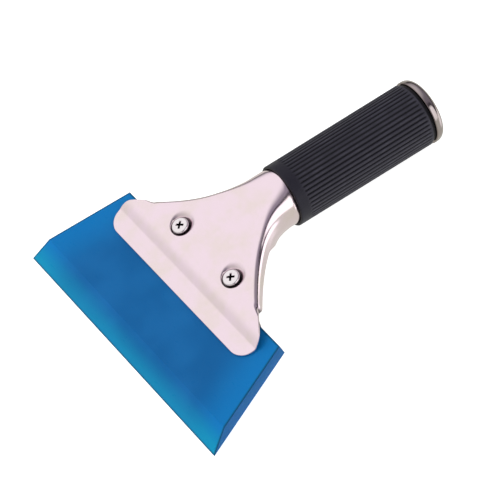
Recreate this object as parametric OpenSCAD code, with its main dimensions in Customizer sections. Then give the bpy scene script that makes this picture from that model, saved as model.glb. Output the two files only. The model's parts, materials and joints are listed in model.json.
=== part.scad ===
// Squeegee applicator: a urethane blade clamped in a two-jaw pressed-steel head on a rubber-gripped tube.
// Every piece is modelled in the tool frame: X along the blade's edge, Y from the edge towards the handle,
// Z out of the front face, with Z = 0 at mid-thickness of the blade. rest_pose() then lays the tool down,
// front up, on its edge and on the rim of its end cap.

/* [Blade] */
// Length of the working edge
edge_len = 140; // [110:1:180]
// Length of the back edge, shorter because both ends are cut at a slant
back_len = 112.2; // [90:0.1:150]
// Width from the working edge to the back edge
blade_w = 50.8; // [44:0.1:60]
// Thickness of the urethane
blade_t = 6.35; // [5:0.05:8]
// How far the bevel runs back from the working edge
bevel_len = 10.9; // [5:0.1:14]
// Height of the small flat left at the working edge
edge_land = 0.4; // [0.1:0.1:1]
// How far the blade sits to the right of the jaws' centre line
blade_shift = 1; // [-5:0.5:5]

/* [Jaws] */
// Thickness of the sheet steel
sheet = 1.2; // [1:0.1:1.6]
// Distance from the working edge to the lips of the jaws
lip_y = 34.5; // [30:0.1:38]
// Width of the flat part of the front lip
lip_w = 7.7; // [6:0.1:9]
// Greatest half-width of the front jaw
jaw_half_w = 50.9; // [45:0.1:56]
// Radius of the lip's corners in plan
corner_r = 8; // [6:0.5:9]
// Height of the front plate's outer face just behind the step
step_z = 8.6; // [7.5:0.1:9.5]
// Bend radius along the sides of the fan
bend_r = 2.2; // [1.8:0.1:3]
// Height at which the side walls of the fan end
wall_end_z = 4.2; // [3:0.1:5]
// How much narrower the rear jaw is than the front one, on each side
rear_inset = 7; // [6:0.5:9]

/* [Handle] */
// Outer radius of the handle tube
tube_r = 13.3; // [12:0.1:14]
// Angle that the handle is bent back from the blade's plane
handle_bend = 18.1; // [10:0.1:25]
// Where the handle's axis meets the blade's mid-plane, from the working edge
axis_y = 97.7; // [96:0.1:99]
// Radius of the grip at its front end
grip_r_front = 14.65; // [14:0.05:15.5]
// Radius of the grip at the cap
grip_r_back = 14.95; // [14.5:0.05:16]
// Length of the grip
grip_len = 72.8; // [60:0.1:90]
// Number of ribs round the grip
rib_count = 46; // [30:1:60]
// Depth of the grooves between the ribs
groove_depth = 0.5; // [0.2:0.05:0.7]
// Radius of the end cap
cap_r = 15.25; // [15.1:0.05:16.5]
// Length of the end cap's visible part
cap_len = 4.8; // [4:0.1:6]
// Radius of the end cap's shoulder
cap_round = 3; // [2:0.1:3.5]

/* [Clamp screws] */
// Distance of each screw from the centre line
screw_x = 19; // [16:0.5:20]
// Distance of the screws from the working edge
screw_y = 56; // [55.5:0.1:57]
// Nominal thread radius, M4
thread_r = 2; // [1.5:0.1:2.5]
// Length of the screw under its head
screw_len = 16; // [16:1:20]
// Radius of the pan head
head_r = 3.8; // [3.5:0.1:4]
// Height of the pan head
head_h = 2.8; // [2.4:0.1:3.1]
// Radius of the round recess that each head sits in
recess_r = 4.9; // [4.6:0.1:5.5]

/* [Hidden] */
$fn = 48;

half_t = blade_t / 2;
lip_z = half_t + sheet;             // outer face of the front lip
step_len = 9;                       // length of the sloping step behind the lip
step_y = lip_y + lip_w + step_len;  // where the step meets the plate
plate_slope = 0.128;                // rise of the front plate towards the neck
plate_crest = 13;                   // the front plate levels off at this height before the neck
neck_inset = 0.1;                   // the neck's last section stays this much inside the tube's surface
neck_r = tube_r - neck_inset;
stretch = 1 / cos(handle_bend);     // a tube cut square to Y is this much taller than wide

grip_start = -1.4;                  // distances along the handle's axis from the blade's mid-plane
weld_d = 2;                         // the neck meets the tube here, under the grip's front end
grip_end = grip_start + grip_len;
tube_wall = 1.2;
spigot_len = 12;
spigot_gap = 0.02;

recess_floor = step_z - 0.8;        // height of the recess floors, where the heads bear
hole_r = thread_r + 0.15;           // clearance holes in the jaws
nut_bore_r = thread_r + 0.05;
nut_flats = 7;
nut_h = 3.2;

// Smooth step from 0 to 1.
function ease(t) = let (u = min(1, max(0, t))) u * u * (3 - 2 * u);
function mix(a, b, t) = a + (b - a) * t;
function bezier(p, t) = let (s = 1 - t)
    s * s * s * p[0] + 3 * s * s * t * p[1] + 3 * s * t * t * p[2] + t * t * t * p[3];

// Height of the handle's axis over the blade's mid-plane at a given y.
function axis_z(y) = (axis_y - y) * tan(handle_bend);
// Plan outline of the fan: half-width against y, from the end of the lip's corner to the neck.
corner_end = 50;
corner_c = [jaw_half_w - corner_r, lip_y + corner_r];
fan_start = corner_c + corner_r * [cos(corner_end), sin(corner_end)];
fan = [fan_start, fan_start + 8 * [-sin(corner_end), cos(corner_end)], [neck_r - 0.5, 72.7], [neck_r, 92]];
fan_steps = 15;
corner_steps = 5;
neck_top_y = 100.5;                    // the neck's front line meets the tube's at this y
neck_end_y = 107;
neck_steps = 6;

// [y, half-width] of each section of the front jaw.
sections = concat(
    [for (i = [0:corner_steps]) let (a = mix(-90, corner_end, i / corner_steps))
        [corner_c[1] + corner_r * sin(a), corner_c[0] + corner_r * cos(a)]],
    [for (i = [1:fan_steps]) let (q = bezier(fan, i / fan_steps)) [q[1], q[0]]],
    [for (i = [1:neck_steps]) [mix(fan[3][1], neck_end_y, i / neck_steps), neck_r]]);

// Outer face of the front plate on the centre line: lip, step, plate, then the top of the tube.
function plate_z(y) = let (
    lip_end = lip_y + lip_w,
    plate = min(plate_crest, step_z + plate_slope * (y - step_y)),
    tube_top = axis_z(y) + neck_r * stretch)
    y < lip_end ? lip_z : y < step_y ? mix(lip_z, step_z, (y - lip_end) / step_len) : min(plate, tube_top);

// The sheet's cross-section goes flat, round the side bend, down the wall and round under the tube.
fold_y = step_y + 0.3;              // the side walls start to turn down here
function fold(y) = 90 * ease((y - fold_y) / 3.5);
function side_r(y) = mix(bend_r, neck_r - 0.6, pow(min(1, max(0, (y - 76) / (neck_top_y - 76))), 1.5));
function wall_foot(y) = mix(wall_end_z, axis_z(y), ease((y - 76) / 10));
function curl(y) = 4 * ease((y - fold_y) / 4) + 84 * ease((y - 75) / 13);
function rim(y) = 6 * (1 - ease((y - fold_y) / 4)) + 0.02;
function wall(y) = (plate_z(y) - side_r(y) - wall_foot(y)) * ease((y - fold_y) / 3.5) + 0.05;

// Point of the section at developed distance s from the crease, as [x, z, turn].
function strip_point(y, half, s) = let (
    r = side_r(y), f = fold(y), m = rim(y), len = wall(y), top = plate_z(y),
    arc = r * f * PI / 180,
    a = half - r * sin(f) - m - (len + neck_r * sin(curl(y))) * cos(f),
    wx = a + m + r * sin(f) + len * cos(f),
    wz = top - r + r * cos(f) - len * sin(f),
    turn = s < m ? 0 : s < m + arc ? (s - m) / r * 180 / PI : s < m + arc + len ? f
         : f + (s - m - arc - len) / neck_r * 180 / PI)
    s < m ? [a + s, top, turn]
    : s < m + arc ? [a + m + r * sin(turn), top - r + r * cos(turn), turn]
    : s < m + arc + len ? [a + m + r * sin(f) + (s - m - arc) * cos(f),
                           top - r + r * cos(f) - (s - m - arc) * sin(f), turn]
    : [wx + neck_r * (sin(turn) - sin(f)), wz + stretch * neck_r * (cos(turn) - cos(f)), turn];
function strip_len(y) = rim(y) + side_r(y) * fold(y) * PI / 180 + wall(y) + neck_r * curl(y) * PI / 180;

// Draws the point [x, z] in to the tube's radius r where the grip slips over the neck.
function rounded(p, y, r) = let (
    q = [p[0], (p[1] - axis_z(y)) / stretch],
    along = (y - axis_y) * cos(handle_bend) - p[1] * sin(handle_bend),
    k = 1 - max(0, 1 - r / norm(q)) * ease((along - grip_start) / 2 + 1))
    [q[0] * k, axis_z(y) + q[1] * k * stretch];

strip_steps = 11;
// One side of a section, from the centre line to the free edge, offset inwards by depth.
function half_section(y, half, depth) = concat(
    [[0, plate_z(y) - depth]],
    [for (k = [0:strip_steps])
        let (p = strip_point(y, half, strip_len(y) * k / strip_steps))
        rounded([p[0] - depth * sin(p[2]), p[1] - depth * cos(p[2])], y, neck_r - depth)]);
// The closed ring of a section: outer face from left to right, then back along the inner face.
function ring(y, half) = let (
    o = half_section(y, half, 0), n = half_section(y, half, sheet), last = strip_steps + 1)
    concat([for (k = [last:-1:1]) [-o[k][0], y, o[k][1]]], [for (k = [0:last]) [o[k][0], y, o[k][1]]],
           [for (k = [last:-1:0]) [n[k][0], y, n[k][1]]], [for (k = [1:last]) [-n[k][0], y, n[k][1]]]);

// Skin through a list of rings with the same number of points each.
module loft(rings) {
    n = len(rings[0]);
    m = len(rings);
    half = n / 2;
    sides = [for (i = [0:m - 2], k = [0:n - 1], t = [0, 1]) let (
        a = i * n + k, b = i * n + (k + 1) % n, c = a + n, d = b + n)
        t == 0 ? [a, d, b] : [a, c, d]];
    ends = [for (e = [0, 1], k = [0:half - 2], t = [0, 1]) let (
        base = e * (m - 1) * n, p = base + k, q = p + 1, r = base + n - 1 - k, s = r - 1,
        tri = t == 0 ? [p, q, s] : [p, s, r])
        e == 0 ? tri : [tri[0], tri[2], tri[1]]];
    polyhedron(points = [for (r = rings) each r], faces = concat(sides, ends), convexity = 8);
}

// Places its children at a distance along the handle's axis, with +Z along the axis.
module on_axis(d) translate([0, axis_y, 0]) rotate([-90 - handle_bend, 0, 0]) translate([0, 0, d]) children();

module blade() {
    color([0.14, 0.41, 0.67])
    translate([blade_shift, 0, 0]) intersection() {
        translate([0, 0, -half_t]) linear_extrude(blade_t)
            polygon([[-edge_len / 2, 0], [edge_len / 2, 0], [back_len / 2, blade_w], [-back_len / 2, blade_w]]);
        translate([-edge_len / 2 - 1, 0, 0]) rotate([90, 0, 90]) linear_extrude(edge_len + 2)
            polygon([[0, -half_t], [blade_w, -half_t], [blade_w, half_t],
                     [bevel_len, half_t], [0, edge_land - half_t]]);
    }
}

// Half-space above the middle of the front plate.
module above_plate() {
    translate([-60, step_y, step_z - 0.75 * sheet]) rotate([atan(plate_slope), 0, 0])
        translate([0, -30, 0]) cube([120, 80, 20]);
}

module front_jaw() {
    color([0.86, 0.82, 0.84])
    difference() {
        union() {
            loft([for (s = sections) ring(s[0], s[1])]);
            for (side = [-1, 1]) difference() {
                translate([side * screw_x, screw_y, recess_floor - sheet]) cylinder(r = recess_r + sheet, h = 5);
                above_plate();
            }
        }
        for (side = [-1, 1]) translate([side * screw_x, screw_y, 0]) {
            translate([0, 0, recess_floor]) cylinder(r = recess_r, h = 8);
            cylinder(r = hole_r, h = 12);
        }
        on_axis(weld_d) translate([-30, -30, 0]) cube([60, 60, 30]);
    }
}

rear_top = -half_t;                 // front face of the rear plate, against the blade
heel_y = 74;                        // the heel stands up to the inside of the front plate here
heel_half_w = 7;
heel_top = step_z + plate_slope * (heel_y - sheet - step_y) - sheet - 0.3;
// Plan outline of the rear plate's right-hand side.
rear_side = concat(
    [for (i = [0:6]) let (a = mix(-90, corner_end, i / 6))
        corner_c - [rear_inset / 3, 0] + corner_r * [cos(a), sin(a)]],
    [for (i = [1:fan_steps]) let (q = bezier(fan, i / fan_steps))
        if (q[1] > blade_w + 1 && q[1] < heel_y) q - [rear_inset, 0]],
    [[heel_half_w, heel_y]]);

module rear_jaw() {
    color([0.80, 0.78, 0.79])
    difference() {
        union() {
            translate([0, 0, rear_top - sheet]) linear_extrude(sheet)
                polygon(concat(rear_side, [for (k = [len(rear_side) - 1:-1:0]) [-rear_side[k][0], rear_side[k][1]]]));
            translate([-heel_half_w, heel_y - sheet, rear_top - sheet])
                cube([2 * heel_half_w, sheet, heel_top - rear_top + sheet]);
        }
        for (side = [-1, 1]) translate([side * screw_x, screw_y, -12]) cylinder(r = hole_r, h = 24);
    }
}

module handle_tube() {
    color([0.62, 0.61, 0.62])
    on_axis(weld_d) difference() {
        cylinder(r = tube_r, h = grip_end - weld_d);
        translate([0, 0, -1]) cylinder(r = tube_r - tube_wall, h = grip_end);
    }
}

module grip_sleeve() {
    groove_w = 0.9;
    groove_front = 7;               // smooth collar at the neck end
    groove_back = 4;                // smooth band at the cap end
    end_chamfer = 1;
    taper = (grip_r_back - grip_r_front) / grip_len;
    color([0.13, 0.13, 0.16])
    on_axis(grip_start) difference() {
        rotate_extrude() polygon([
            [tube_r, 0], [grip_r_front - 0.4, 0], [grip_r_front, 0.4],
            [grip_r_back, grip_len - 2.3], [grip_r_back - end_chamfer, grip_len], [tube_r, grip_len]]);
        for (k = [0:rib_count - 1]) rotate([0, 0, (k + 0.5) * 360 / rib_count])
            translate([grip_r_front - groove_depth, -groove_w / 2, groove_front]) rotate([0, atan(taper), 0])
                cube([3, groove_w, grip_len - groove_front - groove_back]);
    }
}

module end_cap() {
    color([0.84, 0.82, 0.83])
    on_axis(grip_end) {
        rotate_extrude() {
            square([cap_r, cap_len - cap_round]);
            square([cap_r - cap_round, cap_len]);
            intersection() {
                translate([cap_r - cap_round, cap_len - cap_round]) circle(r = cap_round);
                square([cap_r, cap_len]);
            }
        }
        translate([0, 0, -spigot_len])
            cylinder(r = tube_r - tube_wall - spigot_gap, h = spigot_len + 1);
    }
}

// Pan-head screw, pointing down, with the underside of its head at z = 0 and a cross recess.
module clamp_screw() {
    crown = head_h * 0.55;          // height of the domed part
    dome_r = (head_r * head_r + crown * crown) / (2 * crown);
    color([0.78, 0.76, 0.77])
    difference() {
        union() {
            translate([0, 0, -screw_len]) cylinder(r = thread_r, h = screw_len + 0.5);
            intersection() {
                cylinder(r = head_r, h = head_h);
                translate([0, 0, head_h - dome_r]) sphere(r = dome_r);
            }
        }
        for (turn = [0, 90]) rotate([0, 0, turn])
            translate([-2, -0.45, head_h - 1.7]) cube([4, 0.9, 3]);
    }
}

module screw_at(side) translate([side * screw_x, screw_y, recess_floor]) rotate([0, 0, side * 20]) clamp_screw();
module clamp_screw_left() screw_at(-1);
module clamp_screw_right() screw_at(1);

module nut_at(side) {
    color([0.72, 0.71, 0.70])
    translate([side * screw_x, screw_y, rear_top - sheet - nut_h]) difference() {
        cylinder(r = nut_flats / sqrt(3), h = nut_h, $fn = 6);
        translate([0, 0, -1]) cylinder(r = nut_bore_r, h = nut_h + 2);
    }
}
module jaw_nut_left() nut_at(-1);
module jaw_nut_right() nut_at(1);

// The lay-down turn makes the line from the working edge to the cap's shoulder level.
shoulder = [axis_y, 0] + (grip_end + cap_len - cap_round) * [cos(handle_bend), -sin(handle_bend)];
low = shoulder - (cap_r - cap_round) * [sin(handle_bend), cos(handle_bend)];
high = shoulder + (cap_r - cap_round) * [sin(handle_bend), cos(handle_bend)];
reach = norm([low[0], low[1] + half_t]);
lay_turn = atan2(-(low[1] + half_t), low[0]) + asin(cap_round / reach);
lift = half_t * cos(lay_turn);
front_end = (half_t - edge_land) * sin(lay_turn);
back_end = high[0] * cos(lay_turn) - high[1] * sin(lay_turn) + cap_round;

module rest_pose() translate([0, -(front_end + back_end) / 2, lift]) rotate([lay_turn, 0, 0]) children();

rest_pose() blade();
rest_pose() front_jaw();
rest_pose() rear_jaw();
rest_pose() handle_tube();
rest_pose() grip_sleeve();
rest_pose() end_cap();
rest_pose() clamp_screw_left();
rest_pose() clamp_screw_right();
rest_pose() jaw_nut_left();
rest_pose() jaw_nut_right();
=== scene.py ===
import json
import math

import bmesh
import bpy
import numpy as np
from mathutils import Matrix, Vector


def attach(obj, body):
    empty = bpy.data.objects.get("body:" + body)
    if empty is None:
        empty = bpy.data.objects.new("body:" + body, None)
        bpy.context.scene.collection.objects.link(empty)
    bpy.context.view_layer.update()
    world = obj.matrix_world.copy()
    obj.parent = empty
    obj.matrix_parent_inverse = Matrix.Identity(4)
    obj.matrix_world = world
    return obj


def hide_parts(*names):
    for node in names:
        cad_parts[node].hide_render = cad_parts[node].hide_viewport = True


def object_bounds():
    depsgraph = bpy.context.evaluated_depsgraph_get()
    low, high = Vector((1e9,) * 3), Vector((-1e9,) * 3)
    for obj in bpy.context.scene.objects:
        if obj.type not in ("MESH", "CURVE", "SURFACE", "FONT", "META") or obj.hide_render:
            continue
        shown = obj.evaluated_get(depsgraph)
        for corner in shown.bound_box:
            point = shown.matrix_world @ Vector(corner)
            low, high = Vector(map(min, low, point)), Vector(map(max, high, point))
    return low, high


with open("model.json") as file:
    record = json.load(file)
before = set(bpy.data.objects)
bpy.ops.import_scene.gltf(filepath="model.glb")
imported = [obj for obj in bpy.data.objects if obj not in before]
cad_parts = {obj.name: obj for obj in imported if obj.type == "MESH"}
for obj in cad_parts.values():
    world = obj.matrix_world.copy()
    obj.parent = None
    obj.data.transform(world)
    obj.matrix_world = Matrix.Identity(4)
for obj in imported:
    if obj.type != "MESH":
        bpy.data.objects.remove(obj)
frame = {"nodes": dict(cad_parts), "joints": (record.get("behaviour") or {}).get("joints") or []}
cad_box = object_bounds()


# ---- Blade ----
# A flat bar of cast translucent urethane, 6.35 mm thick, bevelled along its working edge.
# Both ends are cut at a slant with a knife, and the jaws hold it by friction alone.

MM = 0.001
EDGE_HALF, BACK_HALF = 70.0, 56.1                 # half the length of the working edge and of the back
BLADE_W, BLADE_T, BLADE_SHIFT = 50.8, 6.35, 1.0   # the blade sits a little off the middle of the jaws
BEVEL_LEN, LAND, CHAMFER = 10.9, 0.4, 0.6
HALF_T = BLADE_T / 2
SLANT = (EDGE_HALF - BACK_HALF) / BLADE_W
SCREW_X, SCREW_Y, SEAT_Z = 19.0, 56.0, 7.8        # where the screw heads bear on the front jaw

DEEP_BLUE, CLOUDY_BLUE = (0.006, 0.123, 0.355), (0.010, 0.150, 0.415)
END_BLUE, EDGE_BLUE = (0.005, 0.205, 0.55), (0.005, 0.31, 0.50)
SHADED_RIM_BLUE, CUT_BLUE = (0.004, 0.085, 0.15), (0.022, 0.125, 0.36)
SHADED_CHAMFER_BLUES = (0.002, 0.045, 0.11), (0.004, 0.075, 0.17)

# The tool's own frame has X along the blade's edge, Y from the edge to the handle and Z out of the front.
# The left screw's joint gives how the tool lies in the row frame.
left_turn = next(j for j in frame["joints"] if j["name"] == "screw_left_turn")
tilt = Matrix.Rotation(math.atan2(-left_turn["axis"][1], left_turn["axis"][2]), 4, "X")
seat = Vector((-SCREW_X, SCREW_Y, SEAT_Z)) * MM
lying = Matrix.Translation(Vector(left_turn["pos_m"]) - tilt @ seat) @ tilt


class Value:
    """A socket in a node tree. Arithmetic on it adds Math nodes."""

    def __init__(self, nodes, socket):
        self.nodes, self.socket = nodes, socket

    def __add__(self, other):
        return self.nodes.maths("ADD", self, other)

    def __sub__(self, other):
        return self.nodes.maths("SUBTRACT", self, other)

    def __rsub__(self, other):
        return self.nodes.maths("SUBTRACT", other, self)

    def __mul__(self, other):
        return self.nodes.maths("MULTIPLY", self, other)

    __radd__, __rmul__ = __add__, __mul__

    def size(self):
        return self.nodes.maths("ABSOLUTE", self)

    def root(self):
        return self.nodes.maths("SQRT", self)

    def output(self, k):
        """Another output of the node that this value comes from."""
        return Value(self.nodes, self.socket.node.outputs[k])

    def ramp(self, low, high):
        """0 below low, 1 above high, smooth between; falling if low is the greater."""
        return self.nodes.node("ShaderNodeMapRange", {"interpolation_type": "SMOOTHSTEP"},
                               {"Value": self, "From Min": min(low, high), "From Max": max(low, high),
                                "To Min": float(low > high), "To Max": float(low < high)})


class Nodes:
    """The nodes of a finish or of the studio's light."""

    def __init__(self, tree):
        self.tree = tree

    def node(self, kind, settings=(), sockets=(), out=0):
        """The output named or numbered out of a new node, with its settings made before its sockets."""
        made = self.tree.nodes.new(kind)
        for name, value in dict(settings).items():
            setattr(made, name, value)
        for name, value in dict(sockets).items():
            self.join(made.inputs[name], value)
        return Value(self, made.outputs[out])

    def join(self, socket, value):
        """Links a value to a socket, or sets the socket to a number, vector or colour."""
        if isinstance(value, Value):
            self.tree.links.new(value.socket, socket)
        elif socket.type == "RGBA":
            socket.default_value = (*value, 1)
        else:
            socket.default_value = value

    def maths(self, operation, *terms):
        return self.node("ShaderNodeMath", {"operation": operation}, dict(enumerate(terms)))

    def split(self, vector):
        first = self.node("ShaderNodeSeparateXYZ", {}, {0: vector})
        return [first.output(k) for k in range(3)]

    def mix(self, share, a, b):
        """The colour a where share is 0 and b where it is 1."""
        return self.node("ShaderNodeMix", {"data_type": "RGBA"}, {"Factor": share, 6: a, 7: b}, out=2)


class Finish(Nodes):
    """A material with one Principled shader, whose constants are set on the shader's own sockets."""

    def __init__(self, name, **constants):
        self.material = bpy.data.materials.new(name)
        self.material.use_nodes = True
        super().__init__(self.material.node_tree)
        self.shader = self.tree.nodes["Principled BSDF"]
        for socket, value in constants.items():
            self.feed(socket.replace("_", " "), value)

    def feed(self, name, value):
        self.join(self.shader.inputs[name], value)

    def place(self):
        """The point in the tool's own frame, and its X, Y and Z in millimetres."""
        at = self.node("ShaderNodeTexCoord", out="Object")
        where = self.node("ShaderNodeMapping", {"vector_type": "TEXTURE"},
                          {"Vector": at, "Location": lying.to_translation(), "Rotation": lying.to_euler()})
        return where, [along * (1 / MM) for along in self.split(where)]

    def noise(self, where, size, detail=2.0, stretch=(1, 1, 1), rough=0.5):
        """Noise from 0 to 1 whose patches are about size millimetres across."""
        scaled = self.node("ShaderNodeMapping", {}, {"Vector": where, "Scale": stretch})
        return self.node("ShaderNodeTexNoise", {}, {"Vector": scaled, "Scale": 1 / (size * MM),
                                                    "Detail": detail, "Roughness": rough})

    def bump(self, height, depth):
        """Feeds the shader's Normal from a height of 0 to 1 that is depth millimetres deep."""
        self.feed("Normal", self.node("ShaderNodeBump", {}, {"Height": height, "Distance": depth * MM}))


def link(name, mesh):
    """An object from a mesh that is in the tool's own frame."""
    mesh.transform(lying)
    made = bpy.data.objects.new(name, mesh)
    bpy.context.scene.collection.objects.link(made)
    return made


def solid(name, points, faces):
    """A mesh object from points in the tool's own frame, in millimetres, with its normals outwards."""
    mesh = bpy.data.meshes.new(name)
    mesh.from_pydata((np.asarray(points, float) * MM).tolist(), [], faces)
    tidy = bmesh.new()
    tidy.from_mesh(mesh)
    bmesh.ops.remove_doubles(tidy, verts=tidy.verts, dist=0.0004 * MM)
    bmesh.ops.recalc_face_normals(tidy, faces=tidy.faces)
    tidy.to_mesh(mesh)
    tidy.free()
    mesh.shade_smooth()
    return link(name, mesh)


def ring_faces(rows, columns, closed=False):
    """Quads between rings of points; closed joins the last ring to the first."""
    return [(i * columns + k, i * columns + (k + 1) % columns,
             (i + 1) % rows * columns + (k + 1) % columns, (i + 1) % rows * columns + k)
            for i in range(rows if closed else rows - 1) for k in range(columns)]


def end_faces(rows, columns):
    """The first and the last ring of points as two flat faces."""
    return [tuple(range(columns)), tuple(range((rows - 1) * columns, rows * columns))]


def apply_modifiers(piece):
    """Makes what the modifiers give the piece's own mesh."""
    bpy.context.view_layer.update()
    mesh = bpy.data.meshes.new_from_object(piece.evaluated_get(bpy.context.evaluated_depsgraph_get()))
    piece.modifiers.clear()
    piece.data = mesh


def sharpen(piece, degrees):
    """Shades the piece smooth, apart from edges that turn by more than the angle."""
    piece.data.shade_smooth()
    piece.data.set_sharp_from_angle(angle=math.radians(degrees))


def fit(piece, node, body, slot, *finishes):
    """Gives a piece its finishes, and lets it stand for its CAD node and ride on its body."""
    slots = piece.data.materials
    while len(slots) < len(finishes):
        slots.append(None)
    for k, finish in enumerate(finishes):
        slots[k] = finish.material
    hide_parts(node)
    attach(piece, body)


section = [(0, -HALF_T), (BLADE_W, -HALF_T), (BLADE_W, HALF_T), (BEVEL_LEN, HALF_T), (0, LAND - HALF_T)]
ends = [(BLADE_SHIFT + side * (EDGE_HALF - SLANT * y), y, z) for side in (-1, 1) for y, z in section]
blade = solid("blade_urethane", ends, end_faces(2, len(section)) + ring_faces(2, len(section)))
blade.data.materials.append(None)                 # the bar's own finish
blade.data.materials.append(None)                 # the chamfer's
chamfer = blade.modifiers.new("knife_edges", "BEVEL")
chamfer.width, chamfer.segments, chamfer.material = CHAMFER * MM, 2, 1
chamfer.limit_method, chamfer.angle_limit = "ANGLE", math.radians(40)
apply_modifiers(blade)
sharpen(blade, 20)

# The urethane is paler where light comes in at its ends and through the thin bevel.
urethane = Finish("urethane_blue", IOR=1.5, Specular_IOR_Level=0.06, Subsurface_Weight=0.12,
                  Subsurface_Scale=0.004, Subsurface_Radius=(0.15, 0.5, 1.0))
where, (x, y, _) = urethane.place()
cloud = urethane.noise(where, 26)
streak = urethane.noise(where, 5, 3, (0.12, 1, 1))
scuff = urethane.noise(where, 0.9, 4, (0.3, 1, 1))
knife = urethane.noise(where, 0.5, 3, (1, 0.15, 1))
end_gap = EDGE_HALF - (x - BLADE_SHIFT).size() - y * SLANT
near_end = end_gap.ramp(24, 1.5)
near_edge = (y + streak * 3).ramp(BEVEL_LEN + 1.6, 1.5)
# Painted shade: a dark band within about a millimetre of the ends, the working edge and the back.
at_edge_or_back = urethane.maths("MAXIMUM", y.ramp(0.9, 0.3), (BLADE_W - y).ramp(1.1, 0.4))
shaded_rim = urethane.maths("MAXIMUM", end_gap.ramp(1.1, 0.4), at_edge_or_back)
at_cut = end_gap.ramp(0.25, 0.05)
colour = urethane.mix(cloud.ramp(0.35, 0.7), DEEP_BLUE, CLOUDY_BLUE)
colour = urethane.mix(near_end * 0.85, colour, END_BLUE)
colour = urethane.mix(near_edge * (0.65 + near_end * 0.3), colour, EDGE_BLUE)
colour = urethane.mix(shaded_rim * 0.75, colour, SHADED_RIM_BLUE)
colour = urethane.mix(at_cut * (0.5 + streak * 0.5), colour, CUT_BLUE)
urethane.feed("Base Color", colour)
urethane.feed("Roughness", 0.22 + scuff * 0.16 + at_cut * 0.2)
urethane.bump(knife * at_cut + scuff * 0.05, 0.06)

# The chamfers are painted a darker blue than the bar: painted shade along the blade's edges.
chamfer_shade = Finish("urethane_chamfer_shade", Roughness=0.35, IOR=1.5, Specular_IOR_Level=0.12)
where, _ = chamfer_shade.place()
chamfer_shade.feed("Base Color", chamfer_shade.mix(chamfer_shade.noise(where, 3, 3), *SHADED_CHAMFER_BLUES))
fit(blade, "blade", "blade", "urethane_blue", urethane, chamfer_shade)


# ---- Front jaw ----
# One pressing of 1.2 mm stainless sheet, polished: a flat lip on the blade, a step up to the fan plate,
# round recesses for the screw heads, and sides folded down that roll into the neck of the handle.

SHEET, EDGE_R = 1.2, 0.35                         # its thickness, and the rounding of its edges
LIP_Y, LIP_W, LIP_HALF = 34.5, 7.7, 50.9
LIP_Z = HALF_T + SHEET
CORNER_R, CORNER_END = 8.0, math.radians(50)
STEP_LEN, STEP_Z = 9.0, 8.6
PLATE_SLOPE, CREST_Z = 0.128, 13.0
AXIS_Y = 97.7                                     # where the handle's axis meets the blade's plane
BEND = math.radians(18.1)
TUBE_R = 13.3
NECK_R, NECK_TOP, NECK_END = TUBE_R - 0.1, 100.5, 108.0      # its radius, its bend and where the rows stop
WELD = 2.0                                        # where the neck ends, along the handle's axis
GRIP_FROM = -1.4                                  # and where the grip's mouth is
FAN_LEAD, WAIST_Y, FAN_END = 8.0, 72.7, 92.0      # what shapes the curve from the corner to the neck
SIDE_R, WALL_END = 3.6, 4.2                       # the side folds' radius, and the height that they end at
FOLD_LEN, RIM = 5.0, 6.0                          # the folds form over FOLD_LEN, from a flat rim
LEAN = math.radians(4)                            # how far a folded side leans in
ROUND_FROM, ROUND_LEN, NECK_BEND_R = 76.0, 10.0, NECK_R - 0.6    # where the folds open into the round neck
ROLL_FROM, ROLL_LEN, ROLL = 75.0, 13.0, math.radians(84)         # and where the sides roll in under it
LEAST_RIM, LEAST_WALL, LEAST_ROW = 0.02, 0.05, 0.015             # these keep every face from closing up
SEAT_R, RECESS_R = 4.3, 7.0                       # the recess's flat floor and its rim
UNDER_SEAT_R, UNDER_RECESS_R = 5.2, 8.1           # the same on the sheet's inner face
RECESS_SHIFT, RECESS_CURVE = 2.2, 2.2             # how far the rim lies towards the handle, and how soft
HOLE_R = 2.15

MIRROR_STEEL, MOTTLED_STEEL = (0.885, 0.725, 0.80), (0.83, 0.71, 0.68)
PAINTED_SHADE = (0.02, 0.015, 0.02)

step_y = LIP_Y + LIP_W + STEP_LEN
fold_y = step_y + 0.3


def ease(t):
    """0 below 0, 1 above 1, smooth between."""
    t = np.clip(t, 0, 1)
    return t * t * (3 - 2 * t)


def bezier(p, t):
    """A point on the curve with four control points, for t from 0 to 1."""
    s = 1 - t
    return s**3 * p[0] + 3 * s * s * t * p[1] + 3 * s * t * t * p[2] + t**3 * p[3]


def on_circle(centre, radius, angle):
    """A point in the plane, with the angle measured from +X."""
    return centre + radius * np.array([math.cos(angle), math.sin(angle)])


def along_handle(y, z):
    """Distance along the handle's axis from where it meets the blade's plane."""
    return (y - AXIS_Y) * math.cos(BEND) - z * math.sin(BEND)


# Height of the outer face along the middle, from its slopes. Each fold has its place, its width and how
# much it changes the slope.
step_fold = step_y - 3
step_slope = (STEP_Z - LIP_Z - PLATE_SLOPE * (step_y - step_fold)) / (step_fold - LIP_Y - LIP_W)
crest_y = step_y + (CREST_Z - STEP_Z) / PLATE_SLOPE
folds = [(LIP_Y + LIP_W, 1.8, step_slope), (step_fold, 8, PLATE_SLOPE - step_slope),
         (crest_y, 9, -PLATE_SLOPE), (NECK_TOP, 3.5, -math.tan(BEND))]
run = np.linspace(LIP_Y, NECK_END, 3000)
slopes = sum(ease((run - at) / width + 0.5) * change for at, width, change in folds)
heights = LIP_Z + np.cumsum(slopes) * (run[1] - run[0])

# Half of the outline from above: the lip's round corner, then one curve in to the neck.
corner_c = np.array([LIP_HALF - CORNER_R, LIP_Y + CORNER_R])
corner = [on_circle(corner_c, CORNER_R, a) for a in np.linspace(-math.pi / 2, CORNER_END, 40)]
fan = [corner[-1], on_circle(corner[-1], FAN_LEAD, CORNER_END + math.pi / 2),
       np.array([NECK_R - 0.5, WAIST_Y]), np.array([NECK_R, FAN_END])]
outline = np.array(corner + [bezier(fan, t) for t in np.linspace(0.01, 1, 120)] + [(NECK_R, NECK_END)])


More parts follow.
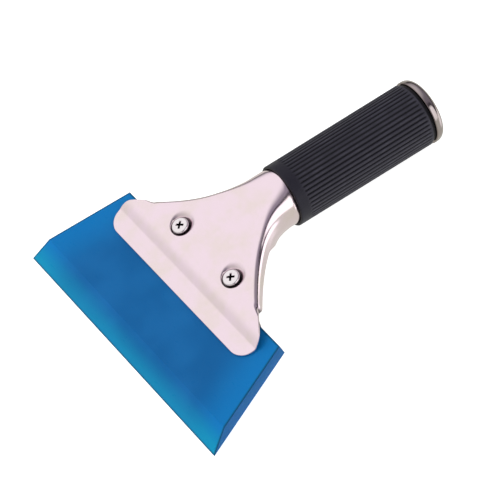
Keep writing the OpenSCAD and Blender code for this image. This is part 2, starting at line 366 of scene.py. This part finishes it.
def edge_inset(gap):
    """How far a face drops where the sheet's edge is rounded off, at a distance from that edge."""
    gap = np.clip(gap, 0, EDGE_R)
    return EDGE_R - np.sqrt(EDGE_R**2 - (EDGE_R - gap) ** 2)


def whole(half_rows):
    """Mirrors half rows about the centre line."""
    half = np.array(half_rows)
    return np.concatenate([half[:, :0:-1] * [-1, 1, 1], half], axis=1)


def sheet_metal(name, outer, inner):
    """A closed sheet from two grids of points, rows by columns, one for each face."""
    rows, columns = outer.shape[:2]
    loop = np.concatenate([outer, inner[:, ::-1]], axis=1)
    n = 2 * columns
    caps = [(e * n + k, e * n + k + 1, e * n + n - 2 - k, e * n + n - 1 - k)
            for e in (0, rows - 1) for k in range(columns - 1)]
    return solid(name, loop.reshape(-1, 3), ring_faces(rows, n) + caps)


def cut_out(piece, bit):
    """Takes the shape of a bit out of a piece, and throws the bit away."""
    cut = piece.modifiers.new("cut", "BOOLEAN")
    cut.operation, cut.solver, cut.object = "DIFFERENCE", "EXACT", bit
    apply_modifiers(piece)
    bpy.data.objects.remove(bit)


def drill(piece, low, high):
    """Bores both screw holes through a jaw, from one height to another."""
    for side in (-1, 1):
        middle = Matrix.Translation(Vector((side * SCREW_X, SCREW_Y, (low + high) / 2)) * MM)
        rod = bmesh.new()
        bmesh.ops.create_cone(rod, cap_ends=True, segments=48, radius1=HOLE_R * MM, radius2=HOLE_R * MM,
                              depth=(high - low) * MM, matrix=middle)
        bit_mesh = bpy.data.meshes.new("drill_bit")
        rod.to_mesh(bit_mesh)
        rod.free()
        cut_out(piece, link("drill_bit", bit_mesh))


# Rows follow Y and are close together at the front edge, in the corner, at the folds and at the recesses.
# Each run of rows has its start, its end and its step.
row_runs = [(36, 40.8, 0.8), (40.8, 50.4, 0.4), (50.4, 66, 0.2), (66, 90, 0.8), (90, NECK_END, 0.5)]
rows = np.unique(np.round(np.concatenate([
    LIP_Y + EDGE_R * (1 - np.cos(np.linspace(0, math.pi / 2, 6))), [p[1] for p in corner[::2]],
    *[np.arange(*row_run) for row_run in row_runs], [NECK_END]]), 4))
rows = rows[np.concatenate([[True], np.diff(rows) > LEAST_ROW])]
# Columns run from the centre line to the screws' far side, then to the side fold, then down the side.
to_screw = np.unique(np.round(np.concatenate([np.linspace(0, 10.4, 8), np.arange(10.4, 27.2, 0.21)]), 3))
to_fold = np.linspace(0, 1, 14)[1:]
down_side = 1 - (1 - np.linspace(0, 1, 46)[1:]) ** 1.35


def jaw_row(y, face_depth):
    """Half of one row of the front jaw, on the face that lies face_depth under the outside."""
    half = np.interp(y, outline[:, 1], outline[:, 0])
    top = np.interp(y, run, heights)
    axis_z = (AXIS_Y - y) * math.tan(BEND)
    folded = ease((y - fold_y) / FOLD_LEN)
    bend = math.pi / 2 * folded
    rounding = min(1, max(0, (y - ROUND_FROM) / (NECK_TOP - ROUND_FROM))) ** 1.5
    r = SIDE_R + (NECK_BEND_R - SIDE_R) * rounding
    foot = WALL_END + (axis_z - WALL_END) * ease((y - ROUND_FROM) / ROUND_LEN)
    curl = LEAN * folded + ROLL * ease((y - ROLL_FROM) / ROLL_LEN)
    rim = RIM * (1 - folded) + LEAST_RIM
    wall = max(0, top - r - foot) * ease((y - fold_y - 0.5) / FOLD_LEN) + LEAST_WALL
    a = half - r * math.sin(bend) - rim - (wall + NECK_R * math.sin(curl)) * math.cos(bend)
    arc = r * bend
    length = rim + arc + wall + NECK_R * curl

    inside = to_screw * min(1, 0.86 * a / to_screw[-1])
    across = np.concatenate([inside, inside[-1] + (a - inside[-1]) * to_fold, a + length * down_side])
    s = np.maximum(across - a, 0)
    on_arc = np.clip((s - rim) / r, 0, bend)
    down = np.clip(s - rim - arc, 0, wall)
    curled = np.maximum(s - rim - arc - wall, 0) / NECK_R
    turn = on_arc + curled
    x = (np.minimum(across, a + rim) + r * np.sin(on_arc) + down * math.cos(bend)
         + NECK_R * (np.sin(bend + curled) - math.sin(bend)))
    z = (top - r + r * np.cos(on_arc) - down * math.sin(bend)
         + NECK_R / math.cos(BEND) * (np.cos(bend + curled) - math.cos(bend)))

    gap = np.minimum((a + length - across) * 0.9, y - LIP_Y)
    past_corner = (x > corner_c[0]) & (y < corner_c[1])
    gap = np.where(past_corner, CORNER_R - np.hypot(x - corner_c[0], y - corner_c[1]), gap)
    depth = np.abs(face_depth - edge_inset(gap))
    x, z = x - depth * np.sin(turn), z - depth * np.cos(turn)

    # Where the grip slips over it, the neck is drawn in to the tube's radius.
    reach = np.hypot(x, (z - axis_z) * math.cos(BEND))
    under_grip = ease((along_handle(y, z) - GRIP_FROM) / 2 + 1)
    over = np.maximum(0, 1 - (NECK_R - depth) / reach) * under_grip
    return np.stack([x * (1 - over), np.full_like(x, y), axis_z + (z - axis_z) * (1 - over)], axis=1)


def recess(points, floor, floor_r, rim_r):
    """Presses the round seat of each screw into one face of the jaw."""
    for side in (-1, 1):
        dx, dy = points[..., 0] - side * SCREW_X, points[..., 1] - SCREW_Y
        rho = np.hypot(dx, dy) + 1e-9
        toward_handle = dy / rho
        chord = np.sqrt(np.maximum(rim_r**2 - RECESS_SHIFT**2 * (1 - toward_handle**2), 0))
        rim = RECESS_SHIFT * toward_handle + chord
        pressed = np.clip((rim - rho) / (rim - floor_r), 0, 1) ** RECESS_CURVE
        points[..., 2] += np.where(rho < rim, (floor - points[..., 2]) * pressed, 0)
    return points


outer = recess(whole([jaw_row(y, 0) for y in rows]), SEAT_Z, SEAT_R, RECESS_R)
inner = recess(whole([jaw_row(y, SHEET) for y in rows]), SEAT_Z - SHEET, UNDER_SEAT_R, UNDER_RECESS_R)
front_jaw = sheet_metal("front_jaw_pressing", outer, inner)

# The neck is cut off square to the handle, where it is welded to the tube.
handle_way = Vector((0, math.cos(BEND), -math.sin(BEND)))
neck = bmesh.new()
neck.from_mesh(front_jaw.data)
cut_ring = bmesh.ops.bisect_plane(
    neck, geom=neck.verts[:] + neck.edges[:] + neck.faces[:], clear_outer=True,
    plane_co=lying @ ((Vector((0, AXIS_Y, 0)) + handle_way * (WELD - 0.01)) * MM),
    plane_no=tilt.to_3x3() @ handle_way)["geom_cut"]
bmesh.ops.edgeloop_fill(neck, edges=[e for e in cut_ring if isinstance(e, bmesh.types.BMEdge)])
bmesh.ops.recalc_face_normals(neck, faces=neck.faces)
neck.to_mesh(front_jaw.data)
neck.free()
drill(front_jaw, low=0, high=12)
sharpen(front_jaw, 38)


def polished_steel(name, tint, mottle, rough, darkening):
    """Mirror-finished stainless with faint blotches, specks and polishing lines, darkened in places by the
    given function; on the jaws that darkening is painted shade.
    """
    steel = Finish(name, Metallic=1.0)
    where, (x, y, z) = steel.place()
    blotch = steel.noise(where, 13, 4, rough=0.62).ramp(0.38, 0.72)
    speck = steel.noise(where, 2.2, 3).ramp(0.56, 0.8)
    lines = steel.noise(where, 0.35, 2, (0.06, 1, 1))
    colour = steel.mix(blotch * 0.8 + speck * 0.25, tint, mottle)
    steel.feed("Base Color", darkening(steel, x, y, z, colour))
    steel.feed("Roughness", rough + blotch * 0.05 + lines * 0.04 + speck * 0.04)
    steel.bump(lines * 0.35 + steel.noise(where, 9) * 0.65, 0.012)
    return steel


def jaw_painted_shade(steel, x, y, z, colour):
    """Painted shade: the sheet is darkened in a ring round each screw's head and where each side fold
    begins.
    """
    dx, dy = x.size() - SCREW_X, y - SCREW_Y
    rho = (dx * dx + dy * dy).root()
    round_head = rho.ramp(SEAT_R + 0.3, SEAT_R - 0.15) * rho.ramp(3.0, 3.6)
    past_fold = y - fold_y
    on_side = z.ramp(8.2, 6.8) * (x.size() + (past_fold - 2.5) * 1.5).ramp(34, 36)
    fold_start = on_side * past_fold.ramp(-0.5, 0.5) * past_fold.ramp(5, 3)
    return steel.mix(steel.maths("MAXIMUM", round_head * 0.93, fold_start * 0.85), colour, PAINTED_SHADE)


jaw_steel = polished_steel("polished_steel", MIRROR_STEEL, MOTTLED_STEEL, 0.12, jaw_painted_shade)
fit(front_jaw, "front_jaw", "handle", "polished_steel", jaw_steel)


# ---- Rear jaw ----
# A flatter pressing of the same sheet behind the blade. Its heel is bent up to bear inside the front plate,
# so that the two screws pull its lip onto the blade.

REAR_INSET, CORNER_INSET = 7.0, 7.0 / 3           # how much narrower it is than the front jaw
SIDE_FROM, SIDE_END = 52.5, 3.0                   # its sides follow the front jaw's between these
HEEL_Y, HEEL_HALF, HEEL_R = 74.0, 7.0, 1.9        # the heel's back, its half width and its bend
HEEL_CORNER, HEEL_GAP = 1.2, 0.3
rear_z = -HALF_T - SHEET
heel_top = STEP_Z + PLATE_SLOPE * (HEEL_Y - SHEET - step_y) - SHEET - HEEL_GAP

rear_corner = corner - np.array([CORNER_INSET, 0])
rear_side = [p - [REAR_INSET, 0] for p in outline[len(corner):] if SIDE_FROM < p[1] < HEEL_Y - SIDE_END]
rear_outline = np.array([*rear_corner, *rear_side, (HEEL_HALF + HEEL_CORNER, HEEL_Y - 2.6),
                         (HEEL_HALF, HEEL_Y - HEEL_R)])
rear_centre = rear_corner[0] + [0, CORNER_R]

# Columns as shares of the half width: close together at the screw and at the side.
by_screw = np.concatenate([np.linspace(0, 10.4, 8), np.linspace(10.4, 27, 24)[1:]]) / 27
wing = np.concatenate([by_screw * 0.8, 1 - 0.2 * (1 - np.linspace(0, 1, 18)[1:]) ** 1.5])
# Rows are [y, how far the sheet is bent up, height above the bend].
rise = heel_top - rear_z - HEEL_R
rear_rows = [(y, 0.0, 0.0) for y in rows[rows < HEEL_Y - HEEL_R - 0.2][::2]]
rear_rows += [(HEEL_Y - HEEL_R, a, 0.0) for a in np.linspace(0, math.pi / 2, 9)]
rear_rows += [(HEEL_Y - HEEL_R, math.pi / 2, lift) for lift in np.linspace(0, rise, 5)[1:]]


def rear_row(y, a, lift, face_depth):
    """Half of one row of the rear jaw, on the face that lies face_depth inside its back."""
    half = np.interp(y, rear_outline[:, 1], rear_outline[:, 0])
    x = half * wing
    gap = np.minimum((half - x) * 0.9, y - LIP_Y)
    if lift > 0:
        gap = np.minimum(gap, rise - lift)
    past_corner = (x > rear_centre[0]) & (y < rear_centre[1]) & (a == 0)
    gap = np.where(past_corner, CORNER_R - np.hypot(x - rear_centre[0], y - rear_centre[1]), gap)
    r = HEEL_R - np.abs(face_depth - edge_inset(gap))
    return np.stack([x, y + r * math.sin(a), rear_z + HEEL_R - r * math.cos(a) + lift], axis=1)


rear_jaw = sheet_metal("rear_jaw_pressing", whole([rear_row(*row, 0) for row in rear_rows]),
                       whole([rear_row(*row, SHEET) for row in rear_rows]))
drill(rear_jaw, low=-9, high=2)
sharpen(rear_jaw, 38)
fit(rear_jaw, "rear_jaw", "rear_jaw", "polished_steel", jaw_steel)


# ---- Handle tube ----
# Plain welded stainless tube, 26.6 mm outside, that the neck is welded to. The grip and the cap cover it,
# so it keeps its plain shape and only takes a finish.

tube_steel = Finish("plain_steel", Metallic=1.0)
where, _ = tube_steel.place()
drawn = tube_steel.noise(where, 0.5, 3, (1, 0.05, 1))
tube_steel.feed("Base Color", tube_steel.mix(drawn, (0.45, 0.44, 0.45), (0.60, 0.58, 0.59)))
tube_steel.feed("Roughness", 0.28 + drawn * 0.14)
tube_steel.bump(drawn, 0.02)
tube = frame["nodes"]["handle_tube"]
tube.data.materials.clear()
tube.data.materials.append(tube_steel.material)


# ---- Grip ----
# A moulded black rubber sleeve, pushed over the tube. Its 46 ribs run between a smooth collar at the neck
# and a narrow band at the cap.

GRIP_LEN, GRIP_FRONT, GRIP_BACK = 72.8, 14.65, 14.95
GRIP_TAPER = (GRIP_BACK - GRIP_FRONT) / GRIP_LEN
BORE = TUBE_R + 0.02
RIBS, PER_RIB, GROOVE, CREST = 46, 14, 0.5, 2.6   # the higher CREST is, the broader the ribs are
RIBS_FROM, RIBS_TO = 5.2, 70.2
LEAD, RUN_OUT = 0.8, 2.0                          # how far outside them a groove starts and deepens

# The groove colour is painted shade, and the crest colour a painted highlight.
GROOVE_SHADE_BLACK, RUBBER_BLACK = (0.004, 0.004, 0.007), (0.015, 0.0135, 0.023)
CREST_HIGHLIGHT_GREY = (0.052, 0.050, 0.068)


def on_axis(points, start):
    """Sets points with Z along the handle down on its axis, from start onwards."""
    x, y, d = points[..., 0], points[..., 1], points[..., 2] + start
    return np.stack([x, AXIS_Y + y * math.sin(BEND) + d * math.cos(BEND),
                     y * math.cos(BEND) - d * math.sin(BEND)], axis=-1)


def turned(profile, angles, radius_at=lambda k, r, angles: r):
    """Points of a lathe shape: rows for the profile's [radius, height], columns for the angles."""
    made = []
    for k, (r, h) in enumerate(profile):
        radii = radius_at(k, r, angles)
        rings = [radii * np.sin(angles), radii * np.cos(angles), np.full_like(angles, h)]
        made.append(np.stack(rings, axis=1))
    return np.array(made)


around = np.linspace(0, 2 * math.pi, RIBS * PER_RIB, endpoint=False)
# 0 on a rib's crest, 1 in the middle of a groove.
off_crest = np.abs((around * RIBS / (2 * math.pi) + 0.5) % 1 - 0.5) * 2
rib_dip = GROOVE * off_crest**CREST
mouth = [(BORE, 0.7), (BORE + 0.12, 0.25), (BORE + 0.4, 0.04), (BORE + 0.7, 0.0), (GRIP_FRONT - 0.4, 0.02),
         (GRIP_FRONT - 0.15, 0.14), (GRIP_FRONT - 0.03, 0.34), (GRIP_FRONT, 0.6)]
body = [(GRIP_FRONT + GRIP_TAPER * d, d) for d in np.concatenate([
    np.linspace(1, RIBS_FROM - 1, 4), np.linspace(RIBS_FROM - LEAD, RIBS_FROM + RUN_OUT - LEAD, 9),
    np.linspace(RIBS_FROM + 3, RIBS_TO - 3, 22), np.linspace(RIBS_TO + LEAD - RUN_OUT, RIBS_TO + LEAD, 9)])]
tail = [(GRIP_BACK, GRIP_LEN - 2.4), (GRIP_BACK - 0.12, GRIP_LEN - 1.9), (GRIP_BACK - 0.9, GRIP_LEN - 0.15),
        (GRIP_BACK - 1.05, GRIP_LEN - 0.02), (BORE, GRIP_LEN - 0.02)]
grip_profile = mouth + body + tail


def ribbed(k, r, angles):
    """The grip's outside radius, with its grooves between the collar and the band."""
    if not len(mouth) <= k < len(mouth) + len(body):
        return r
    d = grip_profile[k][1]
    return r - rib_dip * ease((d - RIBS_FROM + LEAD) / RUN_OUT) * ease((RIBS_TO + LEAD - d) / RUN_OUT)


grip = solid("rubber_grip", on_axis(turned(grip_profile, around, ribbed), GRIP_FROM).reshape(-1, 3),
             ring_faces(len(grip_profile), len(around), closed=True))
sharpen(grip, 50)

# The rubber is painted blackest in the grooves as painted shade, and a painted highlight greys the crests
# in patches.
rubber = Finish("black_rubber", IOR=1.5, Specular_IOR_Level=0.25, Sheen_Weight=0.05, Sheen_Roughness=0.5)
where, (x, y, z) = rubber.place()
grain = rubber.noise(where, 0.35, 4, rough=0.6)
dust = rubber.noise(where, 7, 4, rough=0.65).ramp(0.42, 0.75)
up = (z + (y - AXIS_Y) * math.tan(BEND)) * math.cos(BEND)
above_crest = (x * x + up * up).root() - GRIP_FRONT - (y - AXIS_Y) * GRIP_TAPER
on_ribs = (along_handle(y, z) - GRIP_FROM).ramp(RIBS_FROM - 1, RIBS_FROM + 2)
crest_highlight = above_crest.ramp(-0.14, 0.0) * on_ribs * (0.45 + dust * 0.55)
colour = rubber.mix(above_crest.ramp(-0.42, -0.05), GROOVE_SHADE_BLACK, RUBBER_BLACK)
rubber.feed("Base Color", rubber.mix(crest_highlight, colour, CREST_HIGHLIGHT_GREY))
rubber.feed("Roughness", 0.46 + grain * 0.12 + dust * 0.08)
rubber.bump(grain, 0.05)
fit(grip, "grip_sleeve", "handle", "black_rubber", rubber)


# ---- End cap ----
# A polished steel cap, turned with a rounded shoulder and a faintly crowned end. Its spigot is pressed
# into the tube, and its rim stands just proud of the rubber.

CAP_R, CAP_LEN, CAP_ROUND = 15.25, 4.8, 3.0
CROWN, CROWN_R = 0.12, 12.4
SPIGOT_R, SPIGOT_LEN, REBATE = 12.08, 12.0, 0.03  # the cap's face stands off the grip by the rebate

# The cap's steel is a much darker copy of the jaws' polished steel: that darkness is painted shade.
CAP_STEEL, CAP_MOTTLED, TARNISH = (0.46, 0.40, 0.405), (0.40, 0.335, 0.325), (0.22, 0.17, 0.16)

spigot = [(SPIGOT_R - 0.6, -SPIGOT_LEN), (SPIGOT_R - 0.15, 0.2 - SPIGOT_LEN), (SPIGOT_R, 0.7 - SPIGOT_LEN),
          (SPIGOT_R, REBATE)]
rim = [(CAP_R - 0.5, REBATE), (CAP_R - 0.2, 0.1), (CAP_R - 0.05, 0.28), (CAP_R, 0.5)]
shoulder = [(CAP_R - CAP_ROUND * (1 - math.sin(a)), CAP_LEN - CAP_ROUND * (1 - math.cos(a)) - CROWN)
            for a in np.linspace(math.pi / 2, 0.06, 22)]
crown = [(r, CAP_LEN - CROWN * (r / CROWN_R) ** 2) for r in (11.5, 9, 6, 3, 1, 0.02)]
cap_profile = spigot + rim + shoulder + crown
cap_angles = np.linspace(0, 2 * math.pi, 160, endpoint=False)
cap_rings = len(cap_profile), len(cap_angles)
cap = solid("end_cap_turned", on_axis(turned(cap_profile, cap_angles), GRIP_FROM + GRIP_LEN).reshape(-1, 3),
            ring_faces(*cap_rings) + end_faces(*cap_rings))
sharpen(cap, 40)


def rim_tarnish(steel, x, y, z, colour):
    """A brownish stain where the cap meets the rubber."""
    from_grip = along_handle(y, z) - (GRIP_FROM + GRIP_LEN)
    return steel.mix(from_grip.ramp(0.7, 0.1) * 0.7, colour, TARNISH)


cap_steel = polished_steel("cap_steel", CAP_STEEL, CAP_MOTTLED, 0.1, rim_tarnish)
fit(cap, "end_cap", "handle", "polished_steel", cap_steel)


# ---- Clamp screws ----
# Two bright-zinc M4 pan-head screws with cross recesses. They pass through both jaws behind the blade
# and draw the rear jaw up when they are turned.

SCREW_LEN, THREAD_R, ROOT_R, PITCH = 16.0, 2.0, 1.62, 0.7
HEAD_R, HEAD_H, HEAD_SIDE, HEAD_ROUND = 3.8, 2.0, 1.1, 0.8
POINT_R, POINT_TAPER = 1.3, 0.9
ARM, WEB, TIP_SCALE, CROSS_DEPTH = 1.9, 0.5, 0.42, 1.75
CROSS_TURNS = {"left": 40, "right": 47}           # degrees

ZINC, ZINC_MARKED = (0.93, 0.86, 0.88), (0.80, 0.74, 0.76)
ZINC_SHADE, CROSS_SHADE = (0.035, 0.025, 0.03), (0.05, 0.035, 0.045)

screw_angles = np.linspace(0, 2 * math.pi, 64, endpoint=False)
shank = [(THREAD_R, h) for h in np.arange(-SCREW_LEN, -0.3, PITCH / 8)]
head = [(THREAD_R, -0.05), (2.3, 0), (HEAD_R - 0.3, 0), (HEAD_R - 0.08, 0.08), (HEAD_R, 0.3),
        (HEAD_R, HEAD_SIDE)]
head += [(HEAD_R - HEAD_ROUND * (1 - math.cos(a)), HEAD_SIDE + 0.7 * math.sin(a))
         for a in np.linspace(0.15, 1.35, 9)]
head += [(r, HEAD_H - 0.2 * (r / 3.2) ** 2) for r in (2.8, 2.4, 2.0, 1.5, 1.0, 0.5, 0.02)]
screw_profile = shank + head
screw_rings = len(screw_profile), len(screw_angles)


def thread(h, angles):
    """0 at the thread's root and 1 at its crest, at a height and round the axis."""
    wave = np.abs((h / PITCH + angles / (2 * math.pi)) % 1 - 0.5) * 2
    return np.clip(wave * 1.5 - 0.25, 0, 1)


def threaded(k, r, angles):
    """The shank's radius: its thread runs out under the head and is tapered at the point."""
    if k >= len(shank):
        return r
    h = screw_profile[k][1]
    cut = ROOT_R + (THREAD_R - ROOT_R) * thread(h, angles) * ease((-0.4 - h) / 0.8 + 0.2)
    return np.minimum(cut, POINT_R + (h + SCREW_LEN) * POINT_TAPER)


def cross_bit(turn):
    """Points of the driver's tapered cross, which the recess is pressed with."""
    plan = [(WEB, ARM), (WEB, WEB), (ARM, WEB), (ARM, -WEB), (WEB, -WEB), (WEB, -ARM)]
    plan = np.array(plan + [(-px, -py) for px, py in plan])
    c, s = math.cos(turn), math.sin(turn)
    plan = plan @ np.array([[c, s], [-s, c]])
    levels = (1.12, HEAD_H + 0.4), (1.0, HEAD_H - 0.1), (TIP_SCALE, HEAD_H - CROSS_DEPTH)
    return np.concatenate([np.column_stack([plan * k, np.full(len(plan), h)]) for k, h in levels])


zinc = Finish("screw_steel", Metallic=1.0)
where, (x, y, z) = zinc.place()
marks = zinc.noise(where, 0.6, 4)
from_top = SEAT_Z + HEAD_H - z
dx, dy = x.size() - SCREW_X, y - SCREW_Y
# Painted shade: each head is darkened inside its cross recess and round its foot, where it sits in the jaw.
shaded_cross = from_top.ramp(0.3, 0.7) * (dx * dx + dy * dy).ramp(5.5, 4.5)
shaded_head_foot = (z - SEAT_Z).ramp(HEAD_SIDE, 0.6)
colour = zinc.mix(marks, ZINC, ZINC_MARKED)
colour = zinc.mix(shaded_head_foot * 0.9, colour, ZINC_SHADE)
zinc.feed("Base Color", zinc.mix(shaded_cross * 0.95, colour, CROSS_SHADE))
zinc.feed("Roughness", 0.16 + marks * 0.12)
zinc.bump(marks, 0.02)

for side, name in ((-1, "left"), (1, "right")):
    at = np.array([side * SCREW_X, SCREW_Y, SEAT_Z])
    screw = solid(f"clamp_screw_{name}_turned",
                  turned(screw_profile, screw_angles, threaded).reshape(-1, 3) + at,
                  ring_faces(*screw_rings) + end_faces(*screw_rings))
    bit_points = cross_bit(math.radians(CROSS_TURNS[name])) + at
    cut_out(screw, solid("cross_bit", bit_points, ring_faces(3, 12) + end_faces(3, 12)))
    sharpen(screw, 35)
    fit(screw, f"clamp_screw_{name}", f"screw_{name}", "screw_steel", zinc)


# ---- Jaw nuts ----
# Two plain M4 hexagon nuts, 7 mm across flats, welded to the back of the rear jaw. Their corners are
# chamfered and their bores threaded.

NUT_FLATS, NUT_H = 7.0, 3.2
NUT_CHAMFER_R, NUT_CHAMFER_SLOPE = 3.62, 1.7
NUT_BORE, NUT_THREAD, COUNTERSINK_R = 2.03, 0.2, 2.35

nut_angles = np.linspace(0, 2 * math.pi, 72, endpoint=False)
hexagon = NUT_FLATS / 2 / np.cos((nut_angles + math.pi / 6) % (math.pi / 3) - math.pi / 6)
flats = [(NUT_FLATS / 2, h) for h in (0, 0.08, 0.16, 0.26, 0.4, 1.2, 2, 2.8, 2.94, 3.04, 3.12, NUT_H)]
bore = [(NUT_BORE, h) for h in np.arange(NUT_H - 0.3, 0.29, -PITCH / 8)]
nut_profile = [(COUNTERSINK_R, 0)] + flats + [(COUNTERSINK_R, NUT_H)] + bore


def nut_radius(k, r, angles):
    """The hexagon outside, cut back by the chamfers, and the thread inside."""
    h = nut_profile[k][1]
    if 0 < k <= len(flats):
        return np.minimum(hexagon, NUT_CHAMFER_R + min(h, NUT_H - h) * NUT_CHAMFER_SLOPE)
    if k > len(flats) + 1:
        return r + NUT_THREAD * thread(h, angles)
    return r


for side, name in ((-1, "left"), (1, "right")):
    at = np.array([side * SCREW_X, SCREW_Y, rear_z - NUT_H])
    nut = solid(f"jaw_nut_{name}_hex", turned(nut_profile, nut_angles, nut_radius).reshape(-1, 3) + at,
                ring_faces(len(nut_profile), len(nut_angles), closed=True))
    sharpen(nut, 30)
    fit(nut, f"jaw_nut_{name}", "rear_jaw", "plain_steel", tube_steel)


# ---- Floor, light and camera ----
# The tool lies on plain white paper under two soft boxes. The polished steel mirrors neither the paper nor
# the boxes, only the room: dim all round, with pale walls and white panels where the tool needs them.

FLOOR_HALF, FLOOR_GAP = 9, 0.0002
PAPER_GREY, WHITE = (0.6, 0.6, 0.6), (1.0, 1.0, 1.0)
DARK_WALL, DARK_PANEL, CEILING = (0.03, 0.025, 0.03), (0.03, 0.025, 0.035), (0.30, 0.285, 0.33)
PALE_WALL, BRIGHT, TABLE = (0.60, 0.59, 0.58), (1.5, 1.5, 1.5), (0.70, 0.72, 0.65)

floor_mesh = bpy.data.meshes.new("floor")
floor_corners = [(x * FLOOR_HALF, y * FLOOR_HALF, 0) for x, y in ((-1, -1), (1, -1), (1, 1), (-1, 1))]
floor_mesh.from_pydata(floor_corners, [], [(0, 1, 2, 3)])
floor = bpy.data.objects.new("floor", floor_mesh)
bpy.context.scene.collection.objects.link(floor)
floor.location.z = cad_box[0].z - FLOOR_GAP
paper = Finish("pale_paper", Roughness=0.9, Base_Color=PAPER_GREY, Specular_IOR_Level=0.1,
               Emission_Color=WHITE, Emission_Strength=0.9)
floor_mesh.materials.append(paper.material)
floor.visible_glossy = False

world = bpy.data.worlds.new("studio")
world.use_nodes = True
bpy.context.scene.world = world
studio = Nodes(world.node_tree)
direction = studio.node("ShaderNodeTexCoord", out="Generated")


def toward(azimuth, elevation, narrow, wide):
    """1 within narrow degrees of a direction, 0 beyond wide degrees. Azimuth 0 is +Y and 90 is +X."""
    a, e = math.radians(azimuth), math.radians(elevation)
    aim = (math.sin(a) * math.cos(e), math.cos(a) * math.cos(e), math.sin(e))
    facing = studio.node("ShaderNodeVectorMath", {"operation": "DOT_PRODUCT"}, {0: direction, 1: aim},
                         out="Value")
    return facing.ramp(math.cos(math.radians(wide)), math.cos(math.radians(narrow)))


height = studio.split(direction)[2]
room = studio.mix(height.ramp(0.12, 0.35), DARK_WALL, CEILING)
room = studio.mix(toward(180, 8, 38, 70), room, PALE_WALL)        # beyond the blade's edge
room = studio.mix(toward(-116, 50, 22, 64), room, WHITE)          # over the left side, seen in the plate
room = studio.mix(toward(70, 17, 31, 45), room, DARK_PANEL)       # round the bright panel by the right side
room = studio.mix(toward(70, 17, 23, 31), room, BRIGHT)
below = studio.mix(toward(30, -22, 15, 26), TABLE, BRIGHT)        # seen in the underside of the folds
room = studio.mix(height.ramp(0.0, -0.1), room, below)
studio.join(world.node_tree.nodes["Background"].inputs["Color"], room)


def soft_box(name, place, size, power):
    """A round soft box, aimed at the tool."""
    lamp = bpy.data.lights.new(name, "AREA")
    lamp.shape, lamp.size, lamp.energy = "DISK", size, power
    made = bpy.data.objects.new(name, lamp)
    bpy.context.scene.collection.objects.link(made)
    made.location = place
    made.rotation_euler = (-Vector(place)).to_track_quat("-Z", "Y").to_euler()
    made.visible_glossy = False


soft_box("key", (-0.7, -0.8, 1.4), size=1.3, power=6)
soft_box("fill", (0.9, 0.3, 1.3), size=1.1, power=3)

lens = bpy.data.cameras.new("camera")
lens.sensor_width, lens.lens = 36, 201.0
lens.clip_start, lens.clip_end = 0.05, 50
camera = bpy.data.objects.new("camera", lens)
bpy.context.scene.collection.objects.link(camera)
camera.location = (0.687112, -0.280971, 0.959727)
camera.rotation_euler = [math.radians(a) for a in (36.1794, 11.3078, 53.7713)]
bpy.context.scene.camera = camera
bpy.context.scene.view_settings.view_transform = "Standard"
